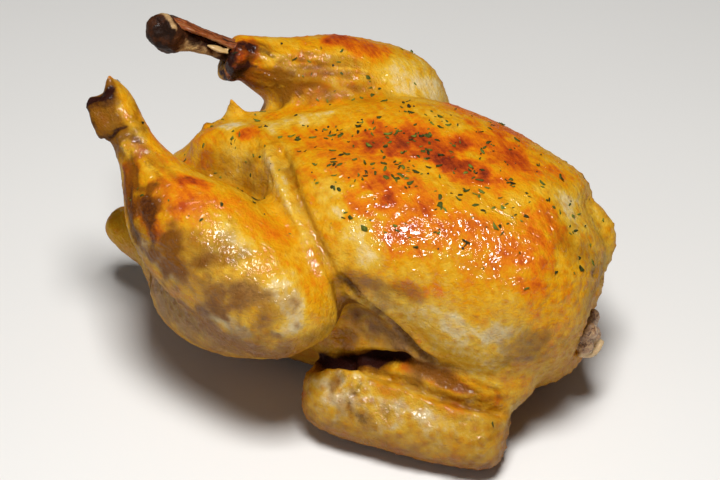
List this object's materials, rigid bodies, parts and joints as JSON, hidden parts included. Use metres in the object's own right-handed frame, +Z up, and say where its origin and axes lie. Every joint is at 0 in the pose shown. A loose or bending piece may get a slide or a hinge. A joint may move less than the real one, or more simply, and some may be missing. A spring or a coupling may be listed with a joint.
{
  "type": "roast chicken",
  "caption": "Whole roast chicken lying on its back, breast up, drumsticks raised over the open vent, wings folded at the sides, neck skin trimmed.",
  "frame": {"origin": "middle of the bounding box's base, on the surface that the bird lies on", "axes": "+X towards the neck, +Y towards the bird's right side, +Z up out of the breast"},
  "size_m": [0.2393, 0.1815, 0.1484],
  "materials": {
    "skin": "glossy golden roast skin with browned patches",
    "bone": "browned bare bone",
    "neck_meat": "moist cooked meat"
  },
  "bodies": {
    "root": {"bird": "skin", "shank_bone": "bone", "neck_stump": "neck_meat"}
  },
  "joints": []
}
